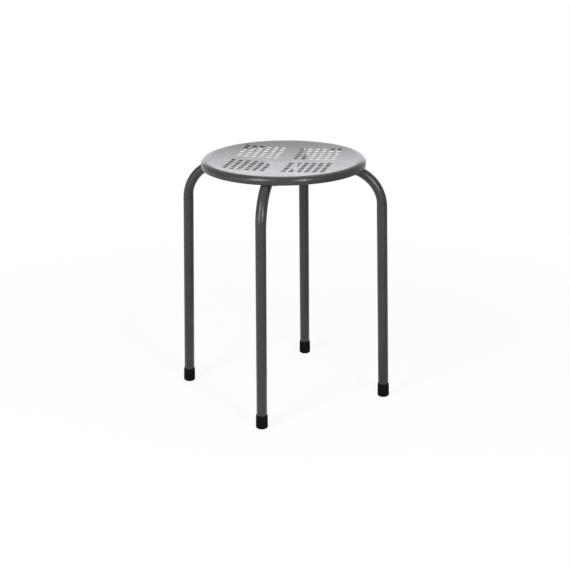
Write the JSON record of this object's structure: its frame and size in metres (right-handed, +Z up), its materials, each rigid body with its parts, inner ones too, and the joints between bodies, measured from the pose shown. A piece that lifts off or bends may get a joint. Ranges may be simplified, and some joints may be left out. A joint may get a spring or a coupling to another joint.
{
  "type": "stacking stool",
  "caption": "Round stacking stool with a dished, perforated sheet-steel seat on bent tube legs that splay slightly and end in foot caps.",
  "frame": {"origin": "on the floor, under the middle of the seat", "axes": "+Z up; the right leg stands on +X, the rear leg on +Y, the left leg on -X and the front leg on -Y"},
  "size_m": [0.4026, 0.4026, 0.45],
  "materials": {
    "dark_powder_coat": "satin dark grey powder coat",
    "black_rubber": "matt black",
    "zinc_plate": "bright zinc plate"
  },
  "bodies": {
    "root": {"seat_pan": "dark_powder_coat", "cross_plate": "dark_powder_coat", "leg_right": "dark_powder_coat", "seat_bracket_right": "dark_powder_coat", "foot_cap_right": "black_rubber", "stud_right_inner": "zinc_plate", "saddle_washer_right_inner": "zinc_plate", "nut_right_inner": "zinc_plate", "stud_right_outer": "zinc_plate", "saddle_washer_right_outer": "zinc_plate", "nut_right_outer": "zinc_plate", "leg_rear": "dark_powder_coat", "seat_bracket_rear": "dark_powder_coat", "foot_cap_rear": "black_rubber", "stud_rear_inner": "zinc_plate", "saddle_washer_rear_inner": "zinc_plate", "nut_rear_inner": "zinc_plate", "stud_rear_outer": "zinc_plate", "saddle_washer_rear_outer": "zinc_plate", "nut_rear_outer": "zinc_plate", "leg_left": "dark_powder_coat", "seat_bracket_left": "dark_powder_coat", "foot_cap_left": "black_rubber", "stud_left_inner": "zinc_plate", "saddle_washer_left_inner": "zinc_plate", "nut_left_inner": "zinc_plate", "stud_left_outer": "zinc_plate", "saddle_washer_left_outer": "zinc_plate", "nut_left_outer": "zinc_plate", "leg_front": "dark_powder_coat", "seat_bracket_front": "dark_powder_coat", "foot_cap_front": "black_rubber", "stud_front_inner": "zinc_plate", "saddle_washer_front_inner": "zinc_plate", "nut_front_inner": "zinc_plate", "stud_front_outer": "zinc_plate", "saddle_washer_front_outer": "zinc_plate", "nut_front_outer": "zinc_plate"}
  },
  "joints": []
}
